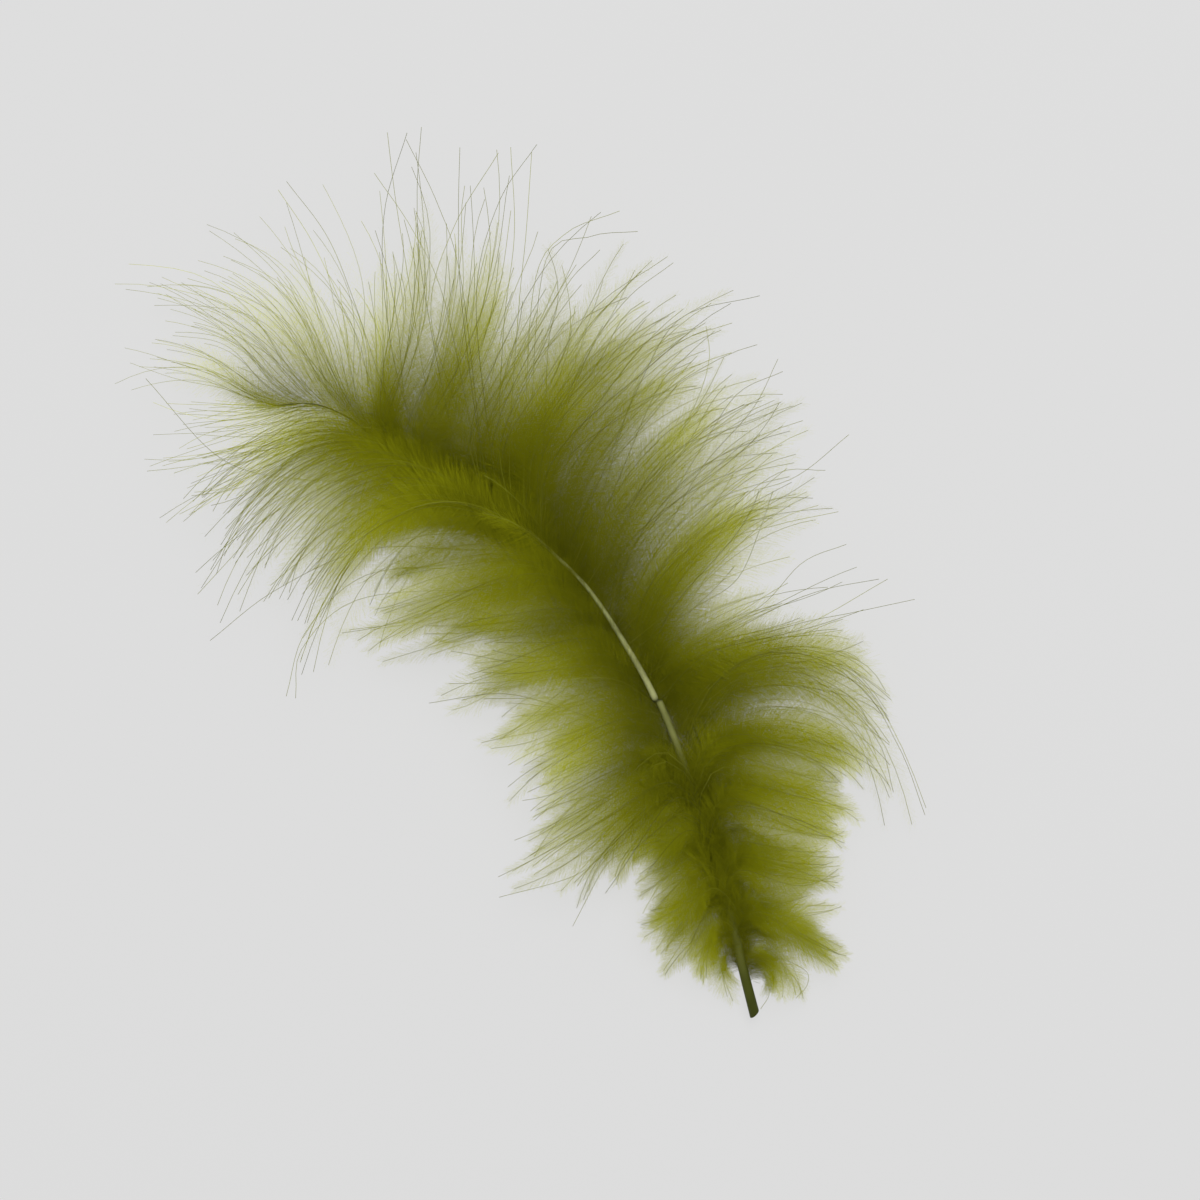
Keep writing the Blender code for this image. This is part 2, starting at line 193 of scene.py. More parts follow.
# Single hairs that stray from the locks: the station of the root, then plan points on the way.
STRAY_HAIRS = {
    "right": [
        (70.0, (-21.7, 74.9), (-16.1, 88.2), (-10.5, 97.0), (0.3, 100.0)),
        (74.0, (-29.0, 76.3), (-23.8, 91.0), (-18.2, 99.4), (-11.6, 104.6)),
        (74.0, (-29.4, 76.3), (-24.5, 90.3), (-20.0, 97.6), (-16.9, 103.6)),
        (68.0, (-21.7, 72.1), (-16.1, 88.9), (-10.5, 93.8), (-3.5, 96.3)),
        (67.0, (-20.3, 72.1), (-14.0, 86.8), (-9.8, 91.7), (-5.9, 95.2)),
        (65.0, (-16.1, 72.1), (-9.1, 84.0), (-6.7, 91.0), (-7.1, 95.9)),
        (60.0, (-13.3, 66.5), (-7.7, 76.3), (-0.7, 84.4), (2.8, 91.3)),
        (62.0, (-14.7, 67.9), (-7.7, 79.1), (-2.8, 86.5), (3.5, 89.6)),
        (58.0, (-12.6, 63.7), (-5.6, 71.4), (4.9, 74.9), (12.6, 80.9)),
        (57.0, (-11.6, 60.9), (-4.9, 69.3), (2.8, 75.6), (9.4, 76.0)),
        (55.0, (-10.5, 58.1), (-4.9, 65.8), (2.8, 68.5), (11.2, 70.3)),
        (54.0, (-9.1, 56.7), (-2.8, 60.9), (0.4, 67.9), (2.2, 73.2)),
        (50.0, (-7.7, 52.5), (0.7, 57.4), (6.3, 63.3), (12.3, 65.8)),
        (48.0, (-7.7, 51.1), (2.1, 56.7), (9.1, 59.5), (16.8, 61.0)),
        (46.0, (-7.0, 50.4), (4.9, 54.6), (13.3, 56.4), (21.7, 58.2)),
        (38.0, (0.7, 49.7), (13.3, 46.9), (19.6, 37.8), (23.2, 28.4)),
        (37.0, (0.0, 49.0), (10.5, 45.5), (16.8, 38.5), (18.9, 31.5)),
        (84.0, (-39.9, 83.3), (-43.4, 100.1), (-47.6, 109.2), (-52.8, 116.9)),
        (88.0, (-45.5, 86.1), (-48.7, 105.7), (-50.0, 114.1), (-51.0, 122.5)),
        (90.0, (-49.0, 86.1), (-51.5, 100.1), (-51.4, 112.0), (-48.3, 122.5)),
        (83.0, (-38.5, 81.9), (-41.0, 102.9), (-44.1, 112.7), (-48.4, 121.5)),
        (86.0, (-42.7, 83.3), (-46.3, 102.9), (-46.9, 114.1), (-46.3, 123.2)),
        (84.0, (-40.6, 81.9), (-45.1, 97.3), (-42.0, 109.2), (-35.7, 119.7)),
        (82.0, (-38.5, 80.5), (-40.9, 100.1), (-41.2, 111.3), (-41.0, 120.4)),
        (79.0, (-35.7, 79.1), (-35.0, 95.9), (-33.5, 108.5), (-34.0, 120.4)),
        (79.0, (-34.3, 79.1), (-32.9, 98.7), (-31.9, 108.5), (-31.1, 119.7)),
        (81.0, (-37.1, 80.5), (-38.8, 100.1), (-35.7, 112.7), (-30.4, 120.8)),
        (77.0, (-32.2, 79.1), (-30.8, 101.5), (-26.6, 108.5), (-19.0, 111.7)),
        (77.0, (-31.5, 79.1), (-29.4, 104.3), (-23.1, 108.2), (-16.5, 108.9)),
        (90.0, (-48.3, 83.3), (-49.7, 95.9), (-51.1, 103.6), (-52.8, 109.2)),
        (95.0, (-51.8, 87.5), (-56.0, 100.1), (-59.5, 108.5), (-65.0, 115.9)),
        (96.0, (-53.2, 87.5), (-57.4, 98.7), (-61.6, 107.8), (-66.2, 114.8)),
        (75.0, (-29.4, 81.9), (-28.7, 94.5), (-26.3, 101.5), (-21.7, 106.4)),
        (5.0, (-0.4, 6.9), (1.5, 5.6), (2.0, 2.9), (0.8, 0.8)),
        (7.0, (2.8, 8.0), (7.0, 6.3), (7.3, 4.3), (5.7, 2.4)),
    ],
    "left": [
        (92.0, (-53.9, 74.9), (-63.7, 74.9), (-74.3, 77.7), (-84.7, 88.8)),
        (64.0, (-39.9, 59.5), (-55.3, 58.1), (-62.9, 51.4), (-63.8, 44.5)),
        (66.0, (-39.9, 62.3), (-53.9, 61.6), (-62.3, 53.9), (-65.1, 44.8)),
        (40.0, (-21.7, 41.3), (-30.1, 44.1), (-36.3, 45.1), (-45.4, 43.8)),
        (24.0, (-13.3, 24.5), (-17.5, 23.1), (-20.9, 21.1), (-25.5, 12.7)),
        (26.0, (-14.7, 25.2), (-20.3, 23.1), (-25.6, 19.6), (-35.7, 16.8)),
        (30.0, (-16.1, 28.7), (-23.1, 27.3), (-28.0, 23.8), (-33.9, 20.4)),
        (44.0, (-23.1, 45.5), (-30.1, 52.5), (-38.5, 52.5), (-45.5, 50.4)),
        (72.0, (-39.9, 65.1), (-53.9, 65.1), (-66.5, 59.5), (-75.6, 52.5)),
    ],
}

# How far the single hairs rise, as a share of their reach, their fluff as the tufts have it, and
# how many points each has.
HAIR_RISE = {"right": 0.16, "left": 0.10}
HAIR_FLUFF = (0.7, 1.0, 0.6, 1.0)
HAIR_POINTS = 30

# Heights of a barb half-way and at its tip, from those that lie on the surface to those that
# rise: a share of the root's height, or of the reach above it.
DROOP = 0.18
LOWEST_TIP = 0.35
MIDDLE_RISE = {"level": 0.07, "high": 0.20}
TIP_RISE = {"level": 0.03, "high": 0.25}
SURFACE_CLEARANCE = 0.05

# Barbs: how close they stand on the shaft, closer where they fan out, and their thickness. By
# station, barbs get finer towards the shaft's tip.
BARB_SPACING = 0.31
STATION_JITTER = 0.08
FANNING_WEIGHT = 0.4
MOST_CROWDING = 3.5
CROWDING_STEPS = 400
END_MARGIN = 0.6
BARB_POINTS = 16
BARB_SIDES = 3
BARB_ROOT_RADIUS = 0.042
BARB_TIP_RADIUS = 0.038
FINENESS_STATIONS = (0.0, 92.0, 104.0, 118.0)
FINENESS = (1.0, 1.0, 0.75, 0.68)

# How far barbs lean towards the shaft's tip: at their very root, and by station further out. The
# powers set how soon each fades along the barb.
LEAD = {"right": 0.6, "left": 0.55}
LEAD_POWER = 6
SWEEP_STATIONS = (0.0, 12.0, 30.0, 42.0, 50.0, 60.0, 72.0, 118.0)
SWEEP = {
    "right": (0.3, 0.8, 1.2, 0.8, 0.1, 0.1, 0.3, 0.5),
    "left": (0.2, 0.6, 1.1, 1.1, 1.1, 1.0, 0.7, 0.4),
}
SWEEP_POWER = 4

# How barbs gather into locks: how strongly, and between which shares of their length. Smaller locks
# grow between the named ones, and a barb doesn't always join the nearest lock.
SMALL_LOCK_SPACING = 3.6
SMALL_LOCK_REACH = (0.70, 0.95)
SMALL_LOCK_TURN = math.radians(8.0)
LOCK_CHOICE_SPREAD = 0.45
LOCK_GATHER = (0.55, 1.0)
SMALL_LOCK_GATHER = (0.35, 0.9)
LOOSE_GATHER = 0.15
GATHER_FROM = 0.25
GATHERED_AT = 1.0

# Kinds of barb, as shares of all: free ones that hardly gather, hairs that rise above the rest and
# keep few barbules, and short filling beneath.
FREE_SHARE = 0.28
HAIR_SHARE = 0.10
HAIR_DOWN = 0.12
HAIR_LIFT = 1.0
HAIR_LIFT_SPEED = 3
HAIR_LEAST_RISE = 0.8
FILLING_SHARE = 0.12
FILLING_REACH = (0.30, 0.75)
FILLING_TURN = math.radians(18.0)
FILLING_RISE = 0.6

# Each barb's own course: turns in radians, and sideways bow, parting and swing as shares of its
# reach. Neighbours of the same layer also drift together.
OWN_TURN = 0.03
FREE_TURN = 0.13
OWN_BOW = 0.03
TIP_CURL = {"right": 0.06, "left": 0.0}
PARTING = 0.07
PARTING_POWER = 3.5
SWING = 0.028
SWING_POWER = 1.5
SWING_TURNS = (0.6, 1.5)
LAYERS = 8
DRIFT_SPACING = 3.0
DRIFT_TURN = math.radians(5.0)
DRIFT_BOW = 0.05

# Lengths as shares of the reach. Short barbs end where their tuft's fluff does. Barbs at the sides
# of a lock are shorter than those in its middle, so that it comes to a point.
LONG_LOSS = 0.28
LONG_LOSS_POWER = 1.6
SHORT_REACH = (0.85, 1.15)
LOCK_HALF_WIDTH = 1.5
LOCK_POINT = 0.25
LONG_POINT = 0.08

# Rises: those of the named locks in turn, and of a barb by its lock. Barbs that lie lower than
# LYING_RISE have barbules from their very root.
LAYER_RISES = (0.0, 1.0, 0.5)
LOWEST_RISE = 0.33
RISE_OF_LOCK = 0.34
RISE_SPREAD = 0.22
LYING_RISE = 0.4

# By station: how far barbs run along the top of the shaft and hide it, and the millimetres at
# their root that have no barbules. Elsewhere barbs first dip beside the shaft.
COVER_STATIONS = (0.0, 5.0, 8.0, 12.0, 29.0, 33.0, 84.0, 88.0, 93.0, 97.0, 118.0)
COVER = (0.0, 0.1, 0.6, 1.0, 1.0, 0.0, 0.0, 0.8, 0.8, 0.0, 0.0)
COVER_RANGE = (0.1, 1.2)
COVER_RUN = 3.2
COVER_LEAD = 4.5
COVER_CROSSING = 1.5
COVER_HEIGHT = 2.0
BARE_STATIONS = (0.0, 35.0, 40.0, 84.0, 89.0, 95.0, 100.0, 118.0)
BARE_ROOTS = (0.0, 0.0, 0.9, 0.9, 0.2, 0.1, 0.2, 0.2)
VALLEY = 1.6
VALLEY_RUN = 2.6

# Each tuft's fluff: the share of the tuft's reach it goes to, how full it is at the root and at its
# end, and the share of barbs that go on beyond it as bare hair.
RIGHT_FLUFF = {
    "quill curl": (1.0, 0.9, 2.4, 1.0),
    "lower skirt": (1.0, 1.6, 0.9, 1.0),
    "arching lock": (0.98, 1.2, 0.35, 0.8),
    "middle wisps": (0.60, 1.4, 0.25, 0.45),
    "upper fan": (1.0, 0.80, 0.50, 0.9),
    "upper flames": (0.92, 1.15, 0.70, 0.45),
    "crown": (0.72, 1.25, 0.60, 0.38),
    "tip comb": (0.80, 1.2, 0.15, 0.55),
}
LEFT_FLUFF = {
    "quill tuft": (1.0, 0.9, 2.2, 1.0),
    "lower skirt": (1.0, 1.5, 1.8, 1.0),
    "lower wisps": (0.95, 1.1, 1.2, 0.6),
    "middle fringe": (1.0, 1.0, 1.2, 0.8),
    "trailing locks": (0.90, 1.0, 0.10, 0.50),
    "tip underside": (0.72, 0.5, 0.25, 0.50),
}
FLUFF_VARIATION = 0.06
LEAST_FLUFF = 0.2
MOST_BARE = 0.5

# Barbules: how many stand on a millimetre of barb, and their size and slant. Their number, length
# and thickness change in even steps from the root to the end of the fluff.
BARBULES_PER_MM = 38.0
BARBULE_DENSITY = (2.1, 1.1, 0.9, 1.0, 0.9)
DENSITY_STEPS = 41
BARBULE_WIDTHS = (0.022, 0.020, 0.018, 0.017, 0.016)
BARBULE_LENGTHS = (3.0, 4.6, 4.6, 3.6, 1.4)
BARBULE_LENGTH_RANGE = (0.6, 1.1)
BARBULE_SLANTS = np.radians((60.0, 56.0, 50.0, 42.0, 30.0))
BARBULE_SLANT_SPREAD = math.radians(6.0)
BARBULE_LIFT_SPREAD = 0.25
RIBBON_LEAN = 0.5
RIBBON_TWIST = 0.8

# By station: the length and the width of the barbules against those above, and how many there are.
SHORTENING_STATIONS = (0.0, 32.0, 46.0, 84.0, 92.0, 104.0, 118.0)
SHORTENING = (0.80, 0.85, 1.0, 0.95, 0.85, 0.65, 0.50)
WIDENING = (1.20, 1.15, 1.0, 1.0, 0.86, 0.80, 0.85)
THINNING_STATIONS = (0.0, 60.0, 67.0, 80.0, 90.0, 104.0, 118.0)
THINNING = {
    "right": (1.0, 1.0, 1.0, 1.0, 0.90, 0.40, 0.40),
    "left": (1.0, 1.0, 1.7, 1.1, 0.33, 0.32, 0.42),
}

# Tones: the spread from barb to barb, the part of it that the barbules share, and by station how
# light the barbs and barbules are.
TONE_SPREAD = 0.25
BARBULE_TONE_SHARE = 0.4
TONE_STATIONS = (0.0, 92.0, 100.0, 118.0)
TONES = (1.0, 1.0, 1.6, 1.6)

# Colours as (share of the way, linear colour): along a barb, by the barbules' place on their barb,
# darkest at the root as painted shade of the dense fluff beside the shaft, and along the shaft, with
# painted shade in the crease of its kink.
BARB_COLOURS = [
    (0.0, (0.20, 0.21, 0.02)), (0.3, (0.18, 0.19, 0.01)), (0.6, (0.26, 0.275, 0.02)),
    (1.0, (0.29, 0.30, 0.04)),
]
# The barbules' dark colours near their root are painted shade, for the shaded crevice and core beside
# the shaft.
BARBULE_COLOURS_AND_ROOT_SHADE = [
    (0.0, (0.145, 0.149, 0.002)), (0.3, (0.30, 0.312, 0.004)), (0.65, (0.47, 0.49, 0.008)),
    (1.0, (0.54, 0.565, 0.015)),
]
# The near-black band between shares 0.3935 and 0.396 is painted shade in the crease of the kink.
SHAFT_COLOURS_AND_CREASE_SHADE = [
    (0.0, (0.050, 0.060, 0.004)), (0.04, (0.075, 0.088, 0.006)), (0.075, (0.13, 0.14, 0.02)),
    (0.38, (0.24, 0.25, 0.07)), (0.391, (0.26, 0.27, 0.08)), (0.3935, (0.04, 0.045, 0.008)),
    (0.396, (0.04, 0.045, 0.008)), (0.399, (0.42, 0.43, 0.18)), (0.55, (0.38, 0.40, 0.15)),
    (0.76, (0.20, 0.22, 0.05)), (0.84, (0.06, 0.065, 0.01)), (1.0, (0.05, 0.055, 0.01)),
]

# Surfaces: the scale and the shades of the colour's patches, the scale and strength of the bumps,
# the range of the roughness, and the gloss.
BARB_SURFACE = {
    "patch_scale": 90.0, "shades": (0.75, 1.25), "bump_scale": 2500.0, "bump": 0.3,
    "roughness": (0.5, 0.7), "gloss": 0.2,
}
BARBULE_SURFACE = {
    "patch_scale": 70.0, "shades": (0.85, 1.15), "bump_scale": 4000.0, "bump": 0.2,
    "roughness": (0.7, 0.9), "gloss": 0.08,
}
SHAFT_SURFACE = {
    "patch_scale": 300.0, "shades": (0.85, 1.15), "bump_scale": 1200.0, "bump": 0.5,
    "roughness": (0.45, 0.7), "gloss": 0.2,
}
PATCH_DETAIL = 3.0
PATCH_RANGE = (0.3, 0.7)
BUMP_DETAIL = 4.0
BUMP_HEIGHT = 0.00004
WHITE = (1.0, 1.0, 1.0, 1.0)

# The upward direction, and the shortest length that a vector is divided by.
UPWARD = (0.0, 0.0, 1.0)
SHORTEST = 1e-12

SEED = 11


def placed(plan, height):
    """Plan places and heights in millimetres, turned and centred, in metres."""
    plan = np.asarray(plan, float)
    across = plan[..., 0] - CENTRE[0]
    along = plan[..., 1] - CENTRE[1]
    x = across * math.cos(LEAN) + along * math.sin(LEAN)
    y = along * math.cos(LEAN) - across * math.sin(LEAN)
    return np.stack([x, y, np.broadcast_to(height, x.shape)], axis=-1) * MM


def smooth_route(points):
    """A Catmull-Rom curve through the points, and the length run at each of its points."""
    ends = np.array([2 * np.array(points[0]) - points[1], 2 * np.array(points[-1]) - points[-2]])
    knots = np.vstack([ends[:1], points, ends[1:]])
    curve = []
    for a, b, c, d in zip(knots, knots[1:], knots[2:], knots[3:]):
        for t in np.arange(ROUTE_STEPS) / ROUTE_STEPS:
            curve.append(0.5 * (2 * b + (c - a) * t + (2 * a - 5 * b + 4 * c - d) * t**2
                                + (3 * b - a - 3 * c + d) * t**3))
    curve.append(np.array(points[-1], float))
    curve = np.array(curve)
    run = np.concatenate([[0.0], np.cumsum(np.linalg.norm(np.diff(curve, axis=0), axis=1))])
    return curve, run


SHAFT_CURVE, SHAFT_RUN = smooth_route(SHAFT_PLAN)


def blended(stations, known, plans):
    """Plan values at any stations, read between those at the known stations."""
    return np.stack([np.interp(stations, known, plans[:, i]) for i in range(2)], axis=-1)


def shaft_plan(station):
    """Plan places of the shaft's middle line at stations along it."""
    return blended(station, SHAFT_RUN, SHAFT_CURVE)


def shaft_forward(station):
    """Plan directions in which the shaft runs, towards its tip."""
    ahead = shaft_plan(np.asarray(station) + 1.0) - shaft_plan(np.asarray(station) - 1.0)
    return ahead / np.linalg.norm(ahead, axis=-1, keepdims=True)


def shaft_height(station):
    """Heights of the shaft's middle line at stations along it."""
    share = np.asarray(station) / SHAFT_LENGTH
    level = CUT_END_HEIGHT + (TIP_HEIGHT - CUT_END_HEIGHT) * share
    return level + SHAFT_BOW * np.sin(math.pi * share**SHAFT_BOW_SKEW)


def shaft_points(stations):
    """Points of the shaft's middle line, as (station, xyz)."""
    return np.concatenate([shaft_plan(stations), shaft_height(stations)[:, None]], axis=-1)


def unit(vectors):
    """The vectors, brought to a length of one."""
    return vectors / np.maximum(np.linalg.norm(vectors, axis=-1, keepdims=True), SHORTEST)


def square_to(forward):
    """The directions aside and above that are square to each forward direction."""
    aside = unit(np.cross(forward, UPWARD))
    return aside, np.cross(aside, forward)


def lock_heights(root_height, reach, rise):
    """Middle and tip heights for a rise of 0 (lies down), 0.5 (level) or 1 (rises), or between."""
    levels = (0.0, 0.5, 1.0)
    low_middle = DROOP * root_height
    middle_share = np.interp(rise, levels, (0.0, MIDDLE_RISE["level"], MIDDLE_RISE["high"]))
    tip_share = np.interp(rise, levels, (0.0, TIP_RISE["level"], TIP_RISE["high"]))
    drooping = np.clip(1.0 - 2.0 * rise, 0.0, 1.0)
    middle = drooping * low_middle + (1 - drooping) * root_height + middle_share * reach
    tip = drooping * LOWEST_TIP + (1 - drooping) * root_height + tip_share * reach
    return middle, tip


def turned(offsets, angles):
    """Plan offsets turned by angles, counterclockwise."""
    cosine, sine = np.cos(angles), np.sin(angles)
    x = offsets[..., 0] * cosine - offsets[..., 1] * sine
    y = offsets[..., 0] * sine + offsets[..., 1] * cosine
    return np.stack([x, y], axis=-1)


def side_locks(tufts, rng):
    """Every lock of a side as arrays, sorted by station: the named locks and those between them."""
    named = [(station, middle, tip, tuft)
             for tuft, locks in enumerate(tufts.values()) for station, middle, tip in locks]
    stations = np.array([lock[0] for lock in named])
    roots = shaft_plan(stations)
    middles = np.array([lock[1] for lock in named]) - roots
    tips = np.array([lock[2] for lock in named]) - roots
    tuft = np.array([lock[3] for lock in named])
    rise = np.resize(LAYER_RISES, len(named))
    gather = rng.uniform(*LOCK_GATHER, len(named))

    between = []
    for n in range(len(named) - 1):
        gap = stations[n + 1] - stations[n]
        count = int(round(gap / SMALL_LOCK_SPACING))
        between += [stations[n] + gap * (k + 0.5) / count for k in range(count)]
    between = np.array(between)
    owner = tuft[np.abs(between[:, None] - stations[None]).argmin(axis=1)]
    turn = rng.normal(0.0, SMALL_LOCK_TURN, len(between))
    shrink = rng.uniform(*SMALL_LOCK_REACH, len(between))[:, None]
    small_middles = turned(blended(between, stations, middles), turn) * shrink
    small_tips = np.array([
        blended(place, stations[tuft == t], tips[tuft == t]) for place, t in zip(between, owner)
    ])
    small_tips = turned(small_tips, turn) * shrink

    order = np.argsort(np.concatenate([stations, between]))
    return {
        "named": (stations, middles, tips, tuft),
        "station": np.concatenate([stations, between])[order],
        "middle": np.concatenate([middles, small_middles])[order],
        "tip": np.concatenate([tips, small_tips])[order],
        "rise": np.concatenate([rise, rng.uniform(0.0, 1.0, len(between))])[order],
        "gather": np.concatenate([gather, rng.uniform(*SMALL_LOCK_GATHER, len(between))])[order],
    }


def barb_stations(known, middles):
    """Places of the barbs on the shaft, closer together where the barbs fan out."""
    last = min(known[-1] + END_MARGIN, SHAFT_LENGTH)
    grid = np.linspace(known[0] - END_MARGIN, last, CROWDING_STEPS)
    fanning = np.linalg.norm(np.gradient(blended(grid, known, middles), grid, axis=0), axis=-1)
    crowding = np.clip(1.0 + FANNING_WEIGHT * fanning, 1.0, MOST_CROWDING)
    total = np.concatenate([[0.0], np.cumsum((crowding[1:] + crowding[:-1]) / 2 * np.diff(grid))])
    count = int(total[-1] / BARB_SPACING)
    return np.interp(np.linspace(0.0, total[-1], count), total, grid)


def smooth_step(values):
    """A step from 0 to 1 that starts and ends softly."""
    values = np.clip(values, 0.0, 1.0)
    return values * values * (3 - 2 * values)


def humped(run, top):
    """A hump that rises from nothing to one at the given run, and then fades."""
    return run / top * np.exp(1 - run / top)


def drifts(stations, layer, rng):
    """Smooth random values, shared by the neighbouring barbs of a layer."""
    last = stations.max() + 2 * DRIFT_SPACING
    knots = np.arange(stations.min() - DRIFT_SPACING, last, DRIFT_SPACING)
    values = rng.normal(0.0, 1.0, (LAYERS, len(knots)))
    found = np.zeros(len(stations))
    for n in range(LAYERS):
        mine = layer == n
        found[mine] = np.interp(stations[mine], knots + rng.uniform(0, DRIFT_SPACING), values[n])
    return found


def barb_curves(root, root_height, middle, tip, rise, t):
    """Curves from root to tip through about the middle, as (barb, point, xyz)."""
    reach = np.linalg.norm(tip, axis=-1)
    middle_height, tip_height = lock_heights(root_height, reach, rise)
    root3 = np.concatenate([root, root_height[:, None]], axis=-1)[:, None]
    middle3 = np.concatenate([root + middle, middle_height[:, None]], axis=-1)[:, None]
    tip3 = np.concatenate([root + tip, tip_height[:, None]], axis=-1)[:, None]
    bend = 2 * middle3 - (root3 + tip3) / 2
    return (1 - t)**2 * root3 + 2 * t * (1 - t) * bend + t**2 * tip3


def with_height(plan):
    """Plan directions as (barb, 1, xyz)."""
    return np.concatenate([plan, np.zeros((len(plan), 1))], axis=-1)[:, None]


def barb_lengths(off_lock, fluff_reach, long_share, filling, rng):
    """Lengths as shares of the reach, for barbs that stand 0 (middle) to 1 (side) off their lock.

    Most barbs end where the fluff of their tuft does, and the rest go on as bare hair.
    """
    count = len(off_lock)
    length = 1.0 - LONG_LOSS * rng.uniform(0.0, 1.0, count)**LONG_LOSS_POWER
    short = rng.uniform(0.0, 1.0, count) > long_share
    short_length = np.minimum(fluff_reach * rng.uniform(*SHORT_REACH, count), 1.0)
    length = np.where(short, short_length, length)
    length = length * (1.0 - np.where(short, LOCK_POINT, LONG_POINT) * off_lock)
    return np.where(filling, rng.uniform(*FILLING_REACH, count), length)


def strayed(lines, t, tip, side, stations, layer, rng):
    """The lines, bowed a little to a side, each on its own, and parted and swinging at the end."""
    count = len(lines)
    reach = np.linalg.norm(tip, axis=-1)
    outward = unit(tip)
    aside = with_height(np.stack([-outward[:, 1], outward[:, 0]], axis=-1))
    bow = rng.normal(0.0, OWN_BOW, count) + DRIFT_BOW * drifts(stations, layer, rng)
    bow = (bow * reach)[:, None, None]
    parting = (rng.normal(TIP_CURL[side], PARTING, count) * reach)[:, None, None]
    swing = (rng.normal(0.0, SWING, count) * reach)[:, None, None]
    phase = rng.uniform(0, 2 * math.pi, count)[:, None, None]
    turns = rng.uniform(*SWING_TURNS, count)[:, None, None]
    wave = swing * t**SWING_POWER * np.sin(2 * math.pi * turns * t + phase)
    return lines + aside * (bow * np.sin(math.pi * t) * t + parting * t**PARTING_POWER + wave)


def leaving_shaft(lines, t, tip, side, stations, hair, rng):
    """The lines, made to leave the shaft pointing ahead and only then swing outward.

    Where the shaft is hidden they run along its top first. Hairs rise above the other barbs.
    """
    ahead = with_height(shaft_forward(stations))
    across = np.stack([ahead[..., 1], -ahead[..., 0], ahead[..., 2]], axis=-1)
    across = across * (1.0 if side == "right" else -1.0)
    cover = np.interp(stations, COVER_STATIONS, COVER) * rng.uniform(*COVER_RANGE, len(lines))
    cover = cover[:, None, None]
    run = t * np.linalg.norm(tip, axis=-1)[:, None, None]
    sweep = np.interp(stations, SWEEP_STATIONS, SWEEP[side])[:, None, None]
    lean = LEAD[side] * (1 - t)**LEAD_POWER + sweep * (1 - t)**SWEEP_POWER
    lines = lines + ahead * run * lean
    lines = lines + ahead * (cover * COVER_LEAD * humped(run, COVER_RUN))
    lines = lines - across * (cover * COVER_CROSSING * np.exp(-run / COVER_RUN))
    lift = cover * COVER_HEIGHT * humped(run, COVER_RUN)
    dip = (1 - np.minimum(cover, 1)) * VALLEY * humped(run, VALLEY_RUN)
    hair_lift = (hair * HAIR_LIFT)[:, None, None] * smooth_step(HAIR_LIFT_SPEED * t)
    lines[..., 2:] += lift - dip + hair_lift
    lines[..., 2] = np.maximum(lines[..., 2], SURFACE_CLEARANCE)
    return lines


def side_barbs(side, tufts, fluff, rng):
    """A side's barbs as arrays: their middle lines in millimetres, as (barb, point, xyz), their
    stations, bare roots, share of barbules, lengths as shares of their reach, and tufts.
    """
    locks = side_locks(tufts, rng)
    known, middles, tips, tuft = locks["named"]
    stations = barb_stations(known, middles)
    count = len(stations)
    stations = stations + rng.uniform(-STATION_JITTER, STATION_JITTER, count)
    root = shaft_plan(stations)
    root_height = shaft_height(stations)
    middle = blended(stations, known, middles)
    nearest = tuft[np.abs(stations[:, None] - known[None]).argmin(axis=1)]
    tip = np.zeros((count, 2))
    for t in np.unique(tuft):
        tip[nearest == t] = blended(stations[nearest == t], known[tuft == t], tips[tuft == t])

    distance = np.abs(stations[:, None] - locks["station"][None])
    lock = (distance + rng.normal(0.0, LOCK_CHOICE_SPREAD, distance.shape)).argmin(axis=1)
    kind = rng.uniform(0.0, 1.0, count)
    free = kind < FREE_SHARE
    filling = kind > 1.0 - FILLING_SHARE
    gather = np.where(free | filling, LOOSE_GATHER, locks["gather"][lock])
    hair = (rng.uniform(0.0, 1.0, count) < HAIR_SHARE) & ~filling
    turn_spread = np.where(filling, FILLING_TURN, np.where(free, FREE_TURN, OWN_TURN))
    turn = rng.normal(0.0, 1.0, count) * turn_spread
    rise = LOWEST_RISE + RISE_OF_LOCK * locks["rise"][lock] + rng.normal(0.0, RISE_SPREAD, count)
    rise = np.clip(rise, 0.0, 1.0)
    rise = np.where(filling, rise * FILLING_RISE, rise)
    rise = np.where(hair, np.maximum(rise, HAIR_LEAST_RISE), rise)
    off_lock = np.clip(np.abs(stations - locks["station"][lock]) / LOCK_HALF_WIDTH, 0.0, 1.0)
    fluff_reach = np.array([fluff[name][0] for name in tufts])[nearest]
    long_share = np.array([fluff[name][3] for name in tufts])[nearest]
    length = barb_lengths(off_lock, fluff_reach, long_share, filling, rng)
    layer = rng.integers(0, LAYERS, count)
    turn = turn + DRIFT_TURN * drifts(stations, layer, rng)
    middle = turned(middle, turn)
    tip = turned(tip, turn)

    t = np.linspace(0.0, 1.0, BARB_POINTS)[None, :, None] * length[:, None, None]
    own = barb_curves(root, root_height, middle, tip, rise, t)
    lock_root = shaft_plan(locks["station"])[lock]
    shared = barb_curves(lock_root, root_height, locks["middle"][lock], locks["tip"][lock], rise, t)
    gathered = smooth_step((t - GATHER_FROM) / (GATHERED_AT - GATHER_FROM))
    lines = own + (shared - own) * gather[:, None, None] * gathered
    lines = strayed(lines, t, tip, side, stations, layer, rng)
    lines = leaving_shaft(lines, t, tip, side, stations, hair, rng)
    bare = np.interp(stations, BARE_STATIONS, BARE_ROOTS) * np.where(rise < LYING_RISE, 0.0, 1.0)
    downy = np.where(hair, HAIR_DOWN, 1.0) * np.interp(stations, THINNING_STATIONS, THINNING[side])
    return {
        "lines": lines,
        "station": stations,
        "bare": bare,
        "downy": downy,
        "length": length,
        "tuft": nearest,
    }


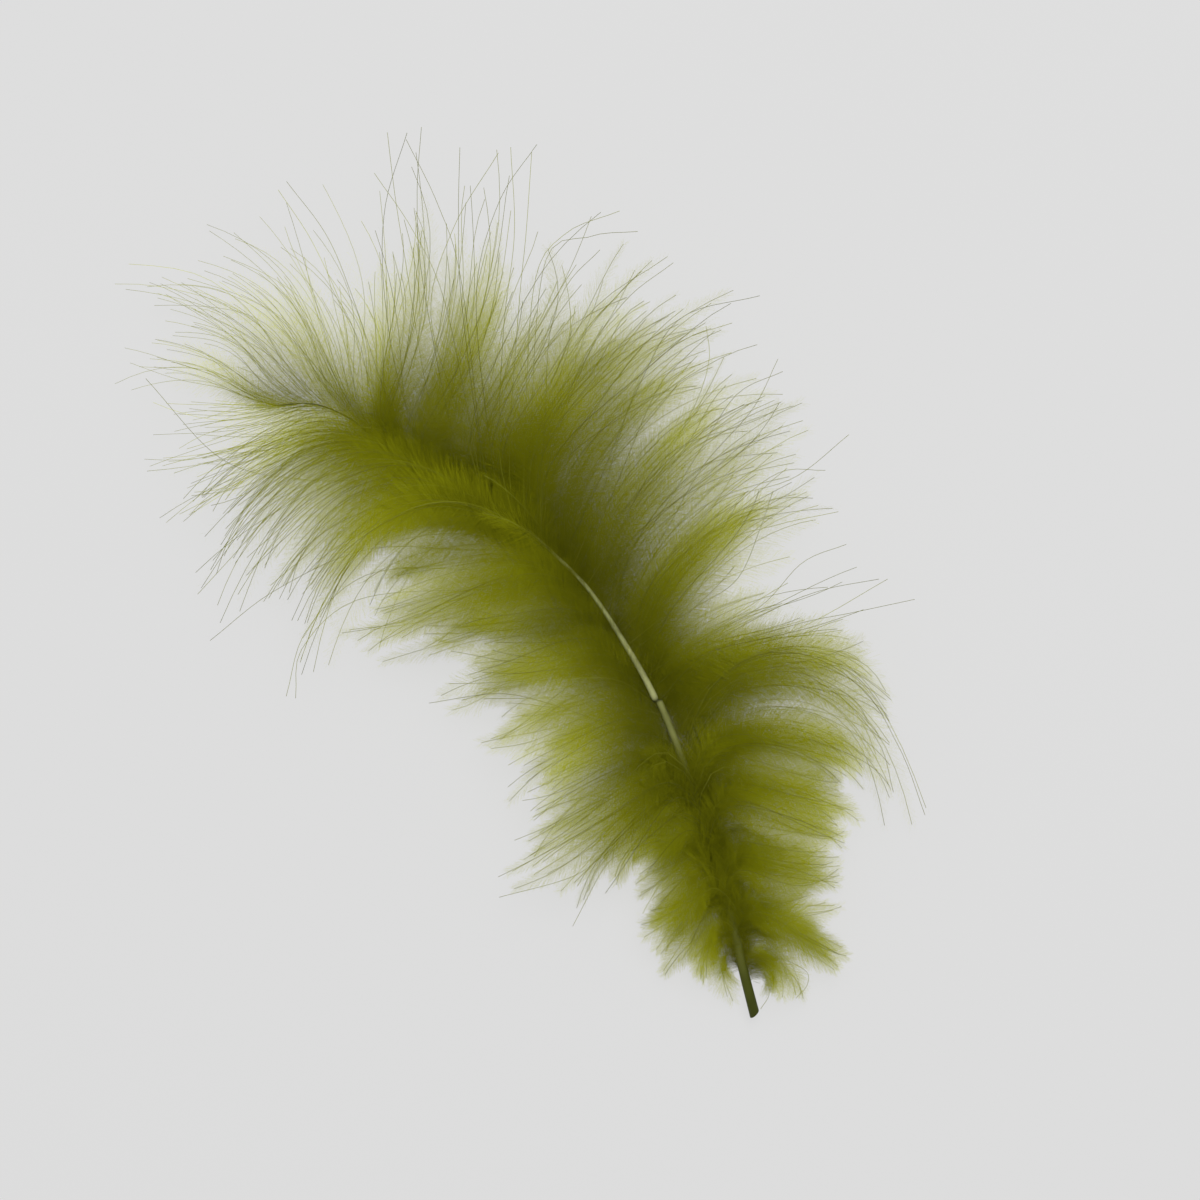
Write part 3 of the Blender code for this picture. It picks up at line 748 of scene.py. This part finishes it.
def tube_faces(rings, sides):
    """Triangles of one closed tube, ring after ring."""
    row = np.arange(rings - 1)[:, None] * sides
    side = np.arange(sides)[None]
    after = (side + 1) % sides
    walls = np.stack([
        np.stack([row + side, row + sides + side, row + sides + after], axis=-1),
        np.stack([row + side, row + sides + after, row + after], axis=-1),
    ]).reshape(-1, 3)
    first_cap = [(0, n, n + 1) for n in range(1, sides - 1)]
    top = (rings - 1) * sides
    last_cap = [(top, top + n + 1, top + n) for n in range(1, sides - 1)]
    return np.vstack([walls, first_cap, last_cap])


def tube_arrays(lines, radii, sides):
    """Points and triangles of thin tubes along many lines at once, closed at both ends."""
    count, steps = lines.shape[:2]
    aside, above = square_to(unit(np.gradient(lines, axis=1)))
    angles = 2 * math.pi * np.arange(sides) / sides
    across, up = np.cos(angles)[:, None], np.sin(angles)[:, None]
    ring = across * aside[:, :, None] + up * above[:, :, None]
    points = lines[:, :, None] + ring * radii[..., None, None]
    faces = tube_faces(steps, sides)[None] + (np.arange(count) * steps * sides)[:, None, None]
    return points.reshape(-1, 3), faces.reshape(-1, 3)


def evenly(values, share):
    """The value at each share from 0 to 1, read between evenly spaced values."""
    return np.interp(share, np.linspace(0.0, 1.0, len(values)), values)


def barbule_places(barbs, fluff, rng):
    """Where the barbules stand: the barb of each, its number on that barb, its share along the
    fluff, and its place along the barb's points.
    """
    lines = barbs["lines"]
    lengths = np.linalg.norm(np.diff(lines, axis=1), axis=-1).sum(axis=1)
    fluff_reach, root_fullness, end_fullness = fluff[:3]
    ends = fluff_reach / barbs["length"] + rng.normal(0.0, FLUFF_VARIATION, len(lengths))
    ends = np.clip(ends, LEAST_FLUFF, 1.0)
    starts = np.minimum(barbs["bare"] / lengths, MOST_BARE * ends)

    grid = np.linspace(0.0, 1.0, DENSITY_STEPS)
    fullness = root_fullness + (end_fullness - root_fullness) * grid
    density = evenly(BARBULE_DENSITY, grid) * fullness
    chance = np.concatenate([[0.0], np.cumsum((density[1:] + density[:-1]) / 2)])
    chance = chance / chance[-1]
    per_mm = BARBULES_PER_MM * density.mean() * barbs["downy"]
    counts = (lengths * (ends - starts) * per_mm).astype(int)
    barb = np.repeat(np.arange(len(lines)), counts)
    number = np.arange(len(barb)) - np.repeat(np.cumsum(counts) - counts, counts)
    share = np.interp((number + rng.uniform(0.0, 1.0, len(barb))) / counts[barb], chance, grid)
    place = (starts[barb] + share * (ends - starts)[barb]) * (lines.shape[1] - 1)
    return barb, number, share, place


def barbule_arrays(barbs, fluff, rng):
    """Points and triangles of the barbules, which are long thin blades in two rows along every
    barb, with each one's share along the fluff and its barb's number.
    """
    lines, stations = barbs["lines"], barbs["station"]
    barb, number, share, place = barbule_places(barbs, fluff, rng)
    knot = np.minimum(place.astype(int), lines.shape[1] - 2)
    part = (place - knot)[:, None]
    start, stop = lines[barb, knot], lines[barb, knot + 1]
    base = start * (1 - part) + stop * part
    forward = unit(stop - start)
    aside, above = square_to(forward)

    # The two rows form a ribbon, which leans and twists as its barb does.
    lean = rng.normal(0.0, RIBBON_LEAN, len(lines))[barb]
    twist = rng.normal(0.0, RIBBON_TWIST, len(lines))[barb]
    lift = rng.normal(0.0, BARBULE_LIFT_SPREAD, len(barb))
    flank = (number % 2) * math.pi + lean + twist * share + lift
    slant = evenly(BARBULE_SLANTS, share) + rng.normal(0.0, BARBULE_SLANT_SPREAD, len(barb))
    out = np.cos(flank)[:, None] * aside + np.sin(flank)[:, None] * above
    way = np.cos(slant)[:, None] * forward + np.sin(slant)[:, None] * out
    length = evenly(BARBULE_LENGTHS, share) * rng.uniform(*BARBULE_LENGTH_RANGE, len(barb))
    length = length * np.interp(stations, SHORTENING_STATIONS, SHORTENING)[barb]
    width = evenly(BARBULE_WIDTHS, share) * np.interp(stations, SHORTENING_STATIONS, WIDENING)[barb]
    foot = forward * width[:, None] / 2
    end = base + way * length[:, None]
    # Every other pair is broad at its end rather than at its foot, which evens out the fluff.
    broad_end = ((number // 2) % 2 == 1)[:, None]
    points = np.stack([
        np.where(broad_end, base, base - foot),
        np.where(broad_end, end + foot, base + foot),
        np.where(broad_end, end - foot, end),
    ], axis=1)
    points[..., 2] = np.maximum(points[..., 2], SURFACE_CLEARANCE)
    return points.reshape(-1, 3), np.arange(len(barb) * 3).reshape(-1, 3), share, barb


def add_object(name, data):
    """An object of that name with those data, in the scene."""
    item = bpy.data.objects.new(name, data)
    bpy.context.scene.collection.objects.link(item)
    return item


def mesh_object(name, points, faces, materials, face_material, along, tone):
    """A mesh object in world metres, from plan points.

    Each point has its share along its barb, and its barb's tone: below one it is darker than the
    rest, and above one lighter.
    """
    mesh = bpy.data.meshes.new(name)
    world = placed(points[:, :2], points[:, 2]).astype(np.float32)
    mesh.vertices.add(len(world))
    mesh.vertices.foreach_set("co", world.ravel())
    mesh.loops.add(faces.size)
    mesh.loops.foreach_set("vertex_index", faces.astype(np.int32).ravel())
    mesh.polygons.add(len(faces))
    mesh.polygons.foreach_set("loop_start", np.arange(0, faces.size, 3, dtype=np.int32))
    mesh.polygons.foreach_set("material_index", face_material.astype(np.int32))
    mesh.update(calc_edges=True)
    for attribute, values in (("along", along), ("tone", tone)):
        layer = mesh.attributes.new(attribute, "FLOAT", "POINT")
        layer.data.foreach_set("value", values.astype(np.float32))
    for material in materials:
        mesh.materials.append(material)
    return add_object(name, mesh)


def stray_barbs():
    """The single hairs, in the same form as a side's barbs."""
    lines, stations = [], []
    for side, hairs in STRAY_HAIRS.items():
        for station, *route in hairs:
            root = shaft_plan(station)
            curve, run = smooth_route([root, *route])
            share = np.linspace(0.0, 1.0, HAIR_POINTS)
            plan = blended(share * run[-1], run, curve)
            reach = np.linalg.norm(plan[-1] - root)
            height = shaft_height(station) + HAIR_RISE[side] * reach * np.sin(math.pi / 2 * share)
            lines.append(np.concatenate([plan, height[:, None]], axis=-1))
            stations.append(station)
    count = len(lines)
    return {
        "lines": np.array(lines),
        "station": np.array(stations),
        "bare": np.zeros(count),
        "downy": np.full(count, HAIR_DOWN),
        "length": np.ones(count),
    }


def add_barbs(name, barbs, fluff, materials, rng):
    """One piece of barbs with their barbules, which rides on the feather and stands in for it."""
    lines = barbs["lines"]
    share = np.linspace(0.0, 1.0, lines.shape[1])
    radii = BARB_ROOT_RADIUS + (BARB_TIP_RADIUS - BARB_ROOT_RADIUS) * share
    fineness = np.interp(barbs["station"], FINENESS_STATIONS, FINENESS)
    tube_points, walls = tube_arrays(lines, radii * fineness[:, None], BARB_SIDES)
    blade_points, blade_faces, blade_share, owner = barbule_arrays(barbs, fluff, rng)
    points = np.vstack([tube_points, blade_points])
    faces = np.vstack([walls, blade_faces + len(tube_points)])
    face_material = np.concatenate([np.zeros(len(walls)), np.ones(len(blade_faces))])
    tube_along = np.tile(np.repeat(share, BARB_SIDES), len(lines))
    along = np.concatenate([tube_along, np.repeat(blade_share, 3)])
    tone = rng.normal(0.0, TONE_SPREAD, len(lines))
    general = np.interp(barbs["station"], TONE_STATIONS, TONES)
    tube_tone = np.repeat(general * np.exp(tone), len(share) * BARB_SIDES)
    blade_tone = np.repeat(general[owner] * np.exp(BARBULE_TONE_SHARE * tone[owner]), 3)
    tone = np.concatenate([tube_tone, blade_tone])
    piece = mesh_object(name, points, faces, materials, face_material, along, tone)
    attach(piece, "root")
    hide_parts("feather")


def shaft_rings(stations, radii):
    """Rings of points square to the shaft. Below the kink they step aside, and the cut end slants."""
    line = shaft_points(stations)
    forward = unit(shaft_points(stations + SHAFT_LOOK_AHEAD) - line)
    aside, above = square_to(forward)
    below = stations < KINK_STATION
    step = KINK_STEP * below * smooth_step(1 - (KINK_STATION - stations) / KINK_STEP_RUN)
    angles = 2 * math.pi * np.arange(SHAFT_SIDES) / SHAFT_SIDES
    across, up = np.cos(angles)[None, :, None], np.sin(angles)[None, :, None]
    ring = (across * aside[:, None] + up * above[:, None]) * radii[:, None, None]
    slant = CUT_SLANT * (stations == 0.0)[:, None, None] * across * radii[:, None, None]
    return line[:, None] + (step[:, None] * aside)[:, None] + ring + slant * forward[:, None]


def add_shaft(material):
    """The quill and rachis: a hollow cut end, a tapering tube and the crease of the kink."""
    crease = KINK_STATION + np.array(CREASE_RINGS)
    outer = np.unique(np.concatenate([np.linspace(0.0, SHAFT_LENGTH, SHAFT_RINGS), crease]))
    outer_radii = np.interp(outer, SHAFT_STATIONS, SHAFT_DIAMETERS) / 2
    outer_radii *= 1 - CREASE_DEPTH * np.exp(-((outer - KINK_STATION) / CREASE_RUN)**2)
    stations = np.concatenate([[PITH_DEPTH, PITH_DEPTH, 0.0], outer])
    radii = np.concatenate([[PITH_END_RADIUS, PITH_RADIUS, PITH_RADIUS], outer_radii])
    points = shaft_rings(stations, radii)
    faces = tube_faces(len(stations), SHAFT_SIDES)
    inner_along = np.zeros(len(stations) - len(outer))
    along = np.repeat(np.concatenate([inner_along, outer / SHAFT_LENGTH]), SHAFT_SIDES)
    only_material = np.zeros(len(faces))
    tone = np.ones(len(along))
    piece = mesh_object("shaft", points.reshape(-1, 3), faces, [material], only_material, along, tone)
    piece.data.shade_smooth()
    piece.data.set_sharp_from_angle(angle=SHAFT_SMOOTH_ANGLE)
    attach(piece, "root")


def new_material(name):
    """A new material, its nodes and its shader."""
    material = bpy.data.materials.new(name)
    material.use_nodes = True
    tree = material.node_tree
    return material, tree, tree.nodes["Principled BSDF"]


def along_colour(tree, places_and_colours):
    """A colour ramp run by the share along the barb or shaft."""
    share = tree.nodes.new("ShaderNodeAttribute")
    share.attribute_name = "along"
    ramp = tree.nodes.new("ShaderNodeValToRGB")
    band = ramp.color_ramp
    while len(band.elements) < len(places_and_colours):
        band.elements.new(0.5)
    for element, (place, colour) in zip(band.elements, places_and_colours):
        element.position = place
        element.color = (*colour, 1.0)
    tree.links.new(share.outputs["Fac"], ramp.inputs["Fac"])
    return ramp.outputs["Color"]


def noise_value(tree, scale, detail):
    """Noise that lies still in the object."""
    where = tree.nodes.new("ShaderNodeTexCoord")
    noise = tree.nodes.new("ShaderNodeTexNoise")
    noise.inputs["Scale"].default_value = scale
    noise.inputs["Detail"].default_value = detail
    tree.links.new(where.outputs["Object"], noise.inputs["Vector"])
    return noise.outputs["Fac"]


def varied(tree, colour, scale, low, high):
    """The colour, made a little darker or lighter from place to place and from barb to barb."""
    spread = tree.nodes.new("ShaderNodeMapRange")
    spread.inputs["From Min"].default_value = PATCH_RANGE[0]
    spread.inputs["From Max"].default_value = PATCH_RANGE[1]
    spread.inputs["To Min"].default_value = low
    spread.inputs["To Max"].default_value = high
    tone = tree.nodes.new("ShaderNodeAttribute")
    tone.attribute_name = "tone"
    toned = tree.nodes.new("ShaderNodeMath")
    toned.operation = "MULTIPLY"
    scaled = tree.nodes.new("ShaderNodeVectorMath")
    scaled.operation = "SCALE"
    tree.links.new(noise_value(tree, scale, PATCH_DETAIL), spread.inputs["Value"])
    tree.links.new(spread.outputs["Result"], toned.inputs[0])
    tree.links.new(tone.outputs["Fac"], toned.inputs[1])
    tree.links.new(colour, scaled.inputs[0])
    tree.links.new(toned.outputs["Value"], scaled.inputs["Scale"])
    return scaled.outputs["Vector"]


def add_relief(tree, shader, scale, bump, low_roughness, high_roughness):
    """Fine bumps, and a roughness that changes from place to place."""
    height = noise_value(tree, scale, BUMP_DETAIL)
    relief = tree.nodes.new("ShaderNodeBump")
    relief.inputs["Strength"].default_value = bump
    relief.inputs["Distance"].default_value = BUMP_HEIGHT
    spread = tree.nodes.new("ShaderNodeMapRange")
    spread.inputs["To Min"].default_value = low_roughness
    spread.inputs["To Max"].default_value = high_roughness
    tree.links.new(height, relief.inputs["Height"])
    tree.links.new(height, spread.inputs["Value"])
    tree.links.new(relief.outputs["Normal"], shader.inputs["Normal"])
    tree.links.new(spread.outputs["Result"], shader.inputs["Roughness"])


def dyed_and_shaded_material(name, colours, surface):
    """A dyed surface with patches, bumps and a changing roughness; the colour ramp it gets may hold
    painted shade, as the barbules' and the shaft's do.
    """
    material, tree, shader = new_material(name)
    colour = varied(tree, along_colour(tree, colours), surface["patch_scale"], *surface["shades"])
    tree.links.new(colour, shader.inputs["Base Color"])
    add_relief(tree, shader, surface["bump_scale"], surface["bump"], *surface["roughness"])
    shader.inputs["Specular IOR Level"].default_value = surface["gloss"]
    return material


def add_floor():
    """A plain pale floor, which glows a little so that shadows on it stay soft."""
    half = 1.5
    grey = (0.16, 0.16, 0.16, 1.0)
    roughness = 0.9
    glow = 0.60
    corners = [(-half, -half, 0), (half, -half, 0), (half, half, 0), (-half, half, 0)]
    mesh = bpy.data.meshes.new("floor")
    mesh.from_pydata(corners, [], [(0, 1, 2, 3)])
    floor = add_object("floor", mesh)
    material, tree, shader = new_material("floor")
    shader.inputs["Base Color"].default_value = grey
    shader.inputs["Roughness"].default_value = roughness
    shader.inputs["Specular IOR Level"].default_value = 0.0
    shader.inputs["Emission Color"].default_value = WHITE
    shader.inputs["Emission Strength"].default_value = glow
    mesh.materials.append(material)


def add_lights():
    """Even white light from all around, and one softbox above."""
    sky_strength = 0.43
    softbox_side = 0.5
    softbox_power = 2.6
    softbox_place = (0.25, 0.15, 0.7)
    softbox_turn = (math.radians(-12), math.radians(20), 0.0)
    world = bpy.data.worlds.new("studio")
    world.use_nodes = True
    background = world.node_tree.nodes["Background"]
    background.inputs["Color"].default_value = WHITE
    background.inputs["Strength"].default_value = sky_strength
    bpy.context.scene.world = world
    light = bpy.data.lights.new("softbox", "AREA")
    light.shape = "RECTANGLE"
    light.size = softbox_side
    light.size_y = softbox_side
    light.energy = softbox_power
    item = add_object("softbox", light)
    item.location = softbox_place
    item.rotation_euler = softbox_turn


def add_camera():
    """Straight above, turned so that the feather lies across the frame as in the photograph."""
    millimetres_per_pixel = 0.14
    quill_end_pixel = (755, 1015)
    frame_side = 1200
    middle = ((frame_side / 2 - quill_end_pixel[0]) * millimetres_per_pixel,
              (quill_end_pixel[1] - frame_side / 2) * millimetres_per_pixel)
    height = 0.60
    focus_height = 0.004
    sensor = 36.0
    span = frame_side * millimetres_per_pixel * MM
    camera = bpy.data.cameras.new("camera")
    camera.sensor_width = sensor
    camera.lens = sensor * (height - focus_height) / span
    item = add_object("camera", camera)
    item.location = placed(middle, height / MM).tolist()
    item.rotation_euler = (0.0, 0.0, -LEAN)
    bpy.context.scene.camera = item


def main():
    """The stage, the shaft, both sides' barbs and the single hairs."""
    bpy.context.scene.view_settings.view_transform = "Standard"
    add_camera()
    add_lights()
    add_floor()
    rng = np.random.default_rng(SEED)
    materials = [
        dyed_and_shaded_material("barb", BARB_COLOURS, BARB_SURFACE),
        dyed_and_shaded_material("barbules", BARBULE_COLOURS_AND_ROOT_SHADE, BARBULE_SURFACE),
    ]
    add_shaft(dyed_and_shaded_material("shaft", SHAFT_COLOURS_AND_CREASE_SHADE, SHAFT_SURFACE))
    sides = {"right": (RIGHT_TUFTS, RIGHT_FLUFF), "left": (LEFT_TUFTS, LEFT_FLUFF)}
    for side, (tufts, fluff) in sides.items():
        barbs = side_barbs(side, tufts, fluff, rng)
        for n, name in enumerate(tufts):
            mine = {key: values[barbs["tuft"] == n] for key, values in barbs.items()}
            add_barbs(f"{side}_{name.replace(' ', '_')}", mine, fluff[name], materials, rng)
    add_barbs("stray_hairs", stray_barbs(), HAIR_FLUFF, materials, rng)


main()
